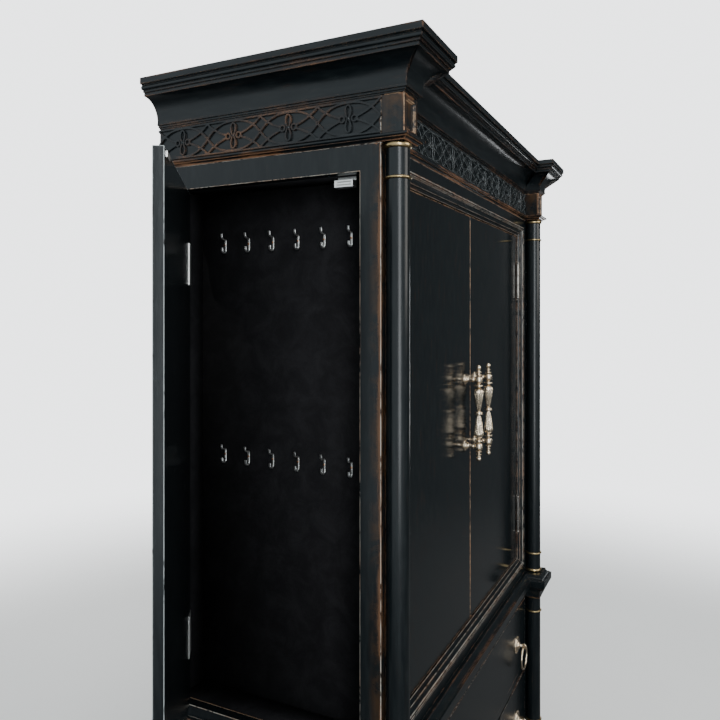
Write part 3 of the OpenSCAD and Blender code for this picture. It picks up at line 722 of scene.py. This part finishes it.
def smoothOutline(points, per):
    # Rounds an outline through its own points
    made = []
    for i in range(len(points) - 1):
        p0, p1 = points[max(i - 1, 0)], points[i]
        p2, p3 = points[i + 1], points[min(i + 2, len(points) - 1)]
        for k in range(per):
            t = k / per
            made.append(tuple(
                0.5 * (2 * b + (c - a) * t + (2 * a - 5 * b + 4 * c - d) * t * t
                       + (3 * b - a - 3 * c + d) * t ** 3)
                for a, b, c, d in zip(p0, p1, p2, p3)
            ))
    return made + [tuple(points[-1])]


def inMetres(outline):
    return [(radius * mm, height * mm) for radius, height in outline]


def outFrom(x, face, z):
    # Frame for a lathed piece that stands on a front face and points at the viewer
    return Matrix.Translation((x, face, z)) @ Matrix.Rotation(math.radians(90), 4, "X")


def ballOutline(radius, centre, start, steps=10):
    # Outline of a ball from an angle below its middle up to its pole
    angles = (start + (math.pi / 2 - start) * k / steps for k in range(steps))
    return [(radius * math.cos(a), centre + radius * math.sin(a)) for a in angles] + [(0.0, centre + radius)]


def leafRelief(angle, height):
    # Pointed leaves that overlap in two rows on the swelling between the middle ring and the post
    look = pullLook
    low, high = look["carved"]
    t = (height - low) / (high - low)
    if not 0 < t < 1:
        return 0.0
    total = 0.0
    for row, (foot, tip) in enumerate(((0.0, 0.62), (0.34, 1.0))):
        s = (t - foot) / (tip - foot)
        if not 0 < s < 1:
            continue
        phase = (angle / turn * look["leaves"] + 0.5 * row) % 1.0 - 0.5
        wide = 0.46 * math.sin(math.pi * s ** 0.75) ** 0.6
        inside = max(0.0, 1 - abs(phase) / max(wide, 1e-6))
        vein = math.exp(-((phase * 16) ** 2)) * 0.45
        frond = 0.16 * math.sin(turn * (s * 6 - abs(phase) * 5))
        if inside > 0:
            total = max(total, (min(1.0, inside * 3.2) * 0.8 + frond - vein) * (0.75 + 0.25 * row))
    return total * math.sin(math.pi * t) ** 0.35


def turnedBar(store, centre):
    look = pullLook
    low, high = look["carved"]
    outline = inMetres(smoothOutline(look["outline"], 4))
    tip = ballOutline(look["ball"], outline[-1][1] + look["ball"] * 0.86, -1.0)
    upper = outline + tip
    whole = [(r, -h) for r, h in reversed(upper)] + upper[1:]
    verts, faces = lathe(whole, look["segments"])
    for i, v in enumerate(verts):
        if low < abs(v.z) < high:
            radius = math.hypot(v.x, v.y)
            relief = leafRelief(math.atan2(v.y, v.x) % turn, abs(v.z)) - 0.55
            grow = 1 + relief * look["leafDepth"] / radius
            v = Vector((v.x * grow, v.y * grow, v.z))
        verts[i] = v + centre
    addTo(store, verts, faces)


for side in ("left", "right"):
    low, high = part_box(side + "_pull")
    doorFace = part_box(side + "_door")[0].y
    centre = Vector(((low.x + high.x) / 2, low.y + pullLook["barOut"], (low.z + high.z) / 2))
    endRadius, endGap = pullLook["postEnd"]
    post = pullLook["post"] + ((endRadius, (doorFace - centre.y) / mm - endGap),)
    store = ([], [])
    turnedBar(store, centre)
    for end in (-1, 1):
        root = outFrom(centre.x, doorFace, centre.z + end * pullLook["postGap"] / 2)
        addTo(store, *lathe(inMetres(smoothOutline(post, 3)), 40, root))
    pull = meshPiece(side + "TurnedPull", *store, sharp=50)
    settle(pull, side + "_door", "pewter", "antique_pewter", side + "_pull")
print("pulls turned")

# Drawer rings: a stepped plate with a beaded edge, a post with an eye, and a ring that thickens as it drops

ringLook = {
    # the plate from its rim to the post, as (radius, height) in millimetres
    "plate": (
        (26, 0), (26, 1.8), (25.2, 2.6), (23.8, 2.8), (22.6, 3.0), (21.6, 4.6), (20.0, 5.8),
        (17.4, 6.4), (14.8, 6.4), (13.4, 7.2), (12.6, 8.8), (11.0, 10.2), (8.6, 10.9), (6.4, 11.6),
        (5.0, 13.2), (4.6, 15.4),
    ),
    "segments": 64,
    "beads": 30,
    "bead": 1.25 * mm,
    "beadPlace": (24.0 * mm, 2.6 * mm),  # out from the plate's middle, and up from its foot
    "eye": 6.6 * mm,
    "eyeSection": (5.2 * mm, 3.0 * mm, 1.3 * mm),
    "wire": (2.7 * mm, 0.8 * mm),  # the ring's radius at its top, and how much it gains at the bottom
    "knot": 0.35 * mm,
    "ringInset": 3.5 * mm,  # from the ring's outside to the middle of its wire
    "ringSteps": (72, 14),
}


def rosette(store, eye, face):
    look = ringLook
    root = outFrom(eye.x, face, eye.z)
    reach = face - eye.y
    addTo(store, *lathe(inMetres(smoothOutline(look["plate"], 4)), look["segments"], root))
    size, (beadOut, beadUp) = look["bead"], look["beadPlace"]
    angles = (-1.2 + 0.55 * j for j in range(5))
    bead = [(0.0, -size)] + [(size * math.cos(b), size * math.sin(b)) for b in angles] + [(0.0, size)]
    for a in circle(look["beads"]):
        spot = Matrix.Translation((beadOut * math.cos(a), beadOut * math.sin(a), beadUp))
        addTo(store, *lathe(bead, 8, root @ spot))
    # the eye is a short thick ring across the post's end
    eyePath = [eye + Vector((0, look["eye"] * math.cos(a), look["eye"] * math.sin(a))) for a in circle(28)]
    addTo(store, *sweepSection(eyePath, roundedBox(*look["eyeSection"]), Vector((1, 0, 0)), True))
    post = [(4.6 * mm, 14 * mm), (4.4 * mm, reach - 7.6 * mm), (3.6 * mm, reach - 5.6 * mm)]
    addTo(store, *lathe(post, 24, root))


def hoopMesh(eye, low, high):
    # Verts and faces of a ring that hangs from its eye, with a small swelling either side of the bottom
    look = ringLook
    count, around = look["ringSteps"]
    thin, gain = look["wire"]
    big = (high.z - low.z) / 2 - look["ringInset"]
    heart = Vector((eye.x, eye.y, eye.z - big))
    verts = []
    for a in circle(count):
        spoke = Vector((math.sin(a), 0, math.cos(a)))
        thick = thin + gain * (0.5 - 0.5 * math.cos(a)) ** 1.5
        thick += look["knot"] * math.exp(-((abs(a - math.pi) - 0.34) / 0.06) ** 2)
        for b in circle(around):
            verts.append(heart + spoke * (big + thick * math.cos(b)) + Vector((0, thick * math.sin(b), 0)))
    return verts, gridFaces(count, around, True, True)


for level in ("upper", "lower"):
    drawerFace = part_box(level + "_drawer_rosettes")[1].y
    store = ([], [])
    for side in ("left", "right"):
        ring = f"{level}_{side}_ring"
        eye = Vector(jointOf[ring + "_swing"]["pos_m"])
        rosette(store, eye, drawerFace)
        hoop = meshPiece(f"{level}{side.title()}Hoop", *hoopMesh(eye, *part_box(ring)), sharp=60)
        settle(hoop, ring, "pewter", "antique_pewter", ring)
    rosettes = meshPiece(level + "Rosettes", *store, sharp=50)
    settle(rosettes, level + "_drawer", "pewter", "antique_pewter", level + "_drawer_rosettes")
print("drawer rings made")

# Necklace hooks: each bent from one strip, with a cross-head screw through its plate

hookLook = {
    "wide": 5 * mm,
    "thick": 2.0 * mm,
    "round": 0.75 * mm,
    "plateUp": 19 * mm,  # from the hook's lowest point to its screw
    "head": 2.4 * mm,
    "dome": 1.5 * mm,
    "cross": (0.62, 0.17, 0.9 * mm),  # length and half width against the head's radius, and depth
}


def arcPoints(centre, radius, start, end, count):
    angles = (start + (end - start) * k / (count - 1) for k in range(count))
    return [(centre[0] + radius * math.cos(a), centre[1] + radius * math.sin(a)) for a in angles]


def hookPath():
    # Middle line of the strip as (up, out) in millimetres, from the lower tip to the upper one
    quarter = math.pi / 2
    path = [(-6.6, 13.2), (-9.0, 13.0)]
    path += arcPoints((-12.0, 7.0), 6.0, quarter, 3 * quarter, 18)
    path += [(-8.0, 1.0), (-2.0, 1.0), (4.0, 1.0)]
    path += arcPoints((9.0, 4.0), 3.0, -quarter, 0.0, 8)
    path += arcPoints((18.0, 9.0), 6.0, 2 * quarter, quarter, 12)
    path += [(20.5, 15.2), (23.2, 15.9)]
    return path


def crossHead(store, place):
    # Domed screw head with a cross sunk in it
    rings, spokes, radius = 9, 40, hookLook["head"]
    crossLong, crossWide, crossDeep = hookLook["cross"]
    verts = [place @ Vector((0, 0, 0.35 * mm))]
    for r in range(1, rings + 1):
        out = r / rings
        for a in circle(spokes):
            x, y = radius * out * math.cos(a), radius * out * math.sin(a)
            sunk = out < crossLong and min(abs(x), abs(y)) < crossWide * radius
            dome = hookLook["dome"] * math.sqrt(max(0.0, 1 - 0.75 * out * out)) if r < rings else 0.0
            verts.append(place @ Vector((x, y, dome - (crossDeep if sunk else 0.0))))
    faces = [(0, 1 + k, 1 + (k + 1) % spokes) for k in range(spokes)]
    for r in range(rings - 1):
        for k in range(spokes):
            a, b = 1 + r * spokes + k, 1 + r * spokes + (k + 1) % spokes
            faces.append((a, a + spokes, b + spokes, b))
    faces.append(tuple(1 + (rings - 1) * spokes + k for k in reversed(range(spokes))))
    addTo(store, verts, faces)


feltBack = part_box("compartment_felt")[0].x
openings = [opening["name"] for opening in frame["record"]["physics"]["openings"]]
stripSection = roundedBox(hookLook["wide"], hookLook["thick"], hookLook["round"], 3)
facingOut = Matrix.Rotation(-math.pi / 2, 4, "Y")
screws = ([], [])
for row in ("upper", "lower"):
    low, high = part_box(row + "_hooks")
    plateZ = low.z + hookLook["plateUp"]
    hooks = sum(1 for name in openings if name.startswith(row + "_hook_"))
    store = ([], [])
    for n in range(hooks):
        y = low.y + hookLook["wide"] / 2 + (high.y - low.y - hookLook["wide"]) * n / (hooks - 1)
        path = [Vector((feltBack - out * mm, y, plateZ + up * mm)) for up, out in hookPath()]
        addTo(store, *sweepSection(path, stripSection, Vector((0, 1, 0))))
        tilt = Matrix.Rotation(random.Random(n * 7 + len(row)).uniform(0, turn), 4, "Z")
        headPlace = Matrix.Translation((feltBack - hookLook["thick"], y, plateZ))
        crossHead(screws, headPlace @ facingOut @ tilt)
    settle(meshPiece(row + "BentHooks", *store, sharp=50), "case", "nickel", "nickel", row + "_hooks")
settle(meshPiece("hookScrewHeads", *screws, sharp=40), "case", "copper", "copper_screw", "hook_screws")
print("hooks bent")

# Felt of the necklace cupboard: a wrapped back board and a strip on each of its four walls


def softBoard(name, low, high):
    # A board wrapped in felt, with rounded edges
    work = bmesh.new()
    bmesh.ops.create_cube(work, size=1.0)
    size = high - low
    for v in work.verts:
        v.co = Vector(low[k] + (v.co[k] + 0.5) * size[k] for k in range(3))
    radius = min(feltLook["round"], 0.4 * min(size))
    bmesh.ops.bevel(work, geom=work.edges[:], offset=radius, segments=3, affect="EDGES")
    mesh = bpy.data.meshes.new(name)
    work.to_mesh(mesh)
    work.free()
    mesh.shade_smooth()
    piece = bpy.data.objects.new(name, mesh)
    scene.collection.objects.link(piece)
    return piece


backBoard = softBoard("feltBackBoard", *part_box("compartment_felt"))
settle(backBoard, "case", "felt", "charcoal_felt", "compartment_felt")
linerLow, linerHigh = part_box("compartment_liner")
skin = feltLook["strip"]
frontY, rearY = linerLow.y + skin, linerHigh.y - skin
strips = {
    "feltFrontStrip": (linerLow.y, frontY, linerLow.z, linerHigh.z),
    "feltRearStrip": (rearY, linerHigh.y, linerLow.z, linerHigh.z),
    "feltTopStrip": (frontY, rearY, linerHigh.z - skin, linerHigh.z),
    "feltFloorStrip": (frontY, rearY, linerLow.z, linerLow.z + skin),
}
for name, (y0, y1, z0, z1) in strips.items():
    strip = softBoard(name, Vector((linerLow.x, y0, z0)), Vector((linerHigh.x, y1, z1)))
    stoodFor = ["compartment_liner"] if name == "feltFrontStrip" else []
    settle(strip, "case", "felt", "charcoal_felt", *stoodFor)
print("felt laid")

# Back boards: the same outlines cut into upright planks with softened joints

backLook = {"planks": 9, "vee": 1.5 * mm}


def plankedBack(name, nodeName):
    low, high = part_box(nodeName)
    count, made = backLook["planks"], bmesh.new()
    for n in range(count):
        work = bmesh.new()
        work.from_mesh(nodes[nodeName].data)
        bmesh.ops.remove_doubles(work, verts=work.verts, dist=0.02 * mm)
        for cut, side in ((n, -1), (n + 1, 1)):
            if 0 < cut < count:
                x = low.x + (high.x - low.x) * cut / count
                whole = work.verts[:] + work.edges[:] + work.faces[:]
                bmesh.ops.bisect_plane(
                    work, geom=whole, plane_co=(x, 0, 0), plane_no=(side, 0, 0), clear_outer=True
                )
                bmesh.ops.holes_fill(work, edges=[e for e in work.edges if e.is_boundary], sides=0)
        bmesh.ops.dissolve_limit(work, angle_limit=0.01, verts=work.verts, edges=work.edges)
        plank = bpy.data.meshes.new(name)
        work.to_mesh(plank)
        work.free()
        made.from_mesh(plank)
        bpy.data.meshes.remove(plank)
    mesh = bpy.data.meshes.new(name)
    bmesh.ops.bevel(made, geom=made.edges[:], offset=backLook["vee"], segments=1, affect="EDGES")
    made.to_mesh(mesh)
    made.free()
    piece = bpy.data.objects.new(name, mesh)
    scene.collection.objects.link(piece)
    return piece


for part in ("upper", "lower"):
    settle(plankedBack(part + "BackPlanks", part + "_back"), "case", "backTimber", "case_wood", part + "_back")
print("back planked")
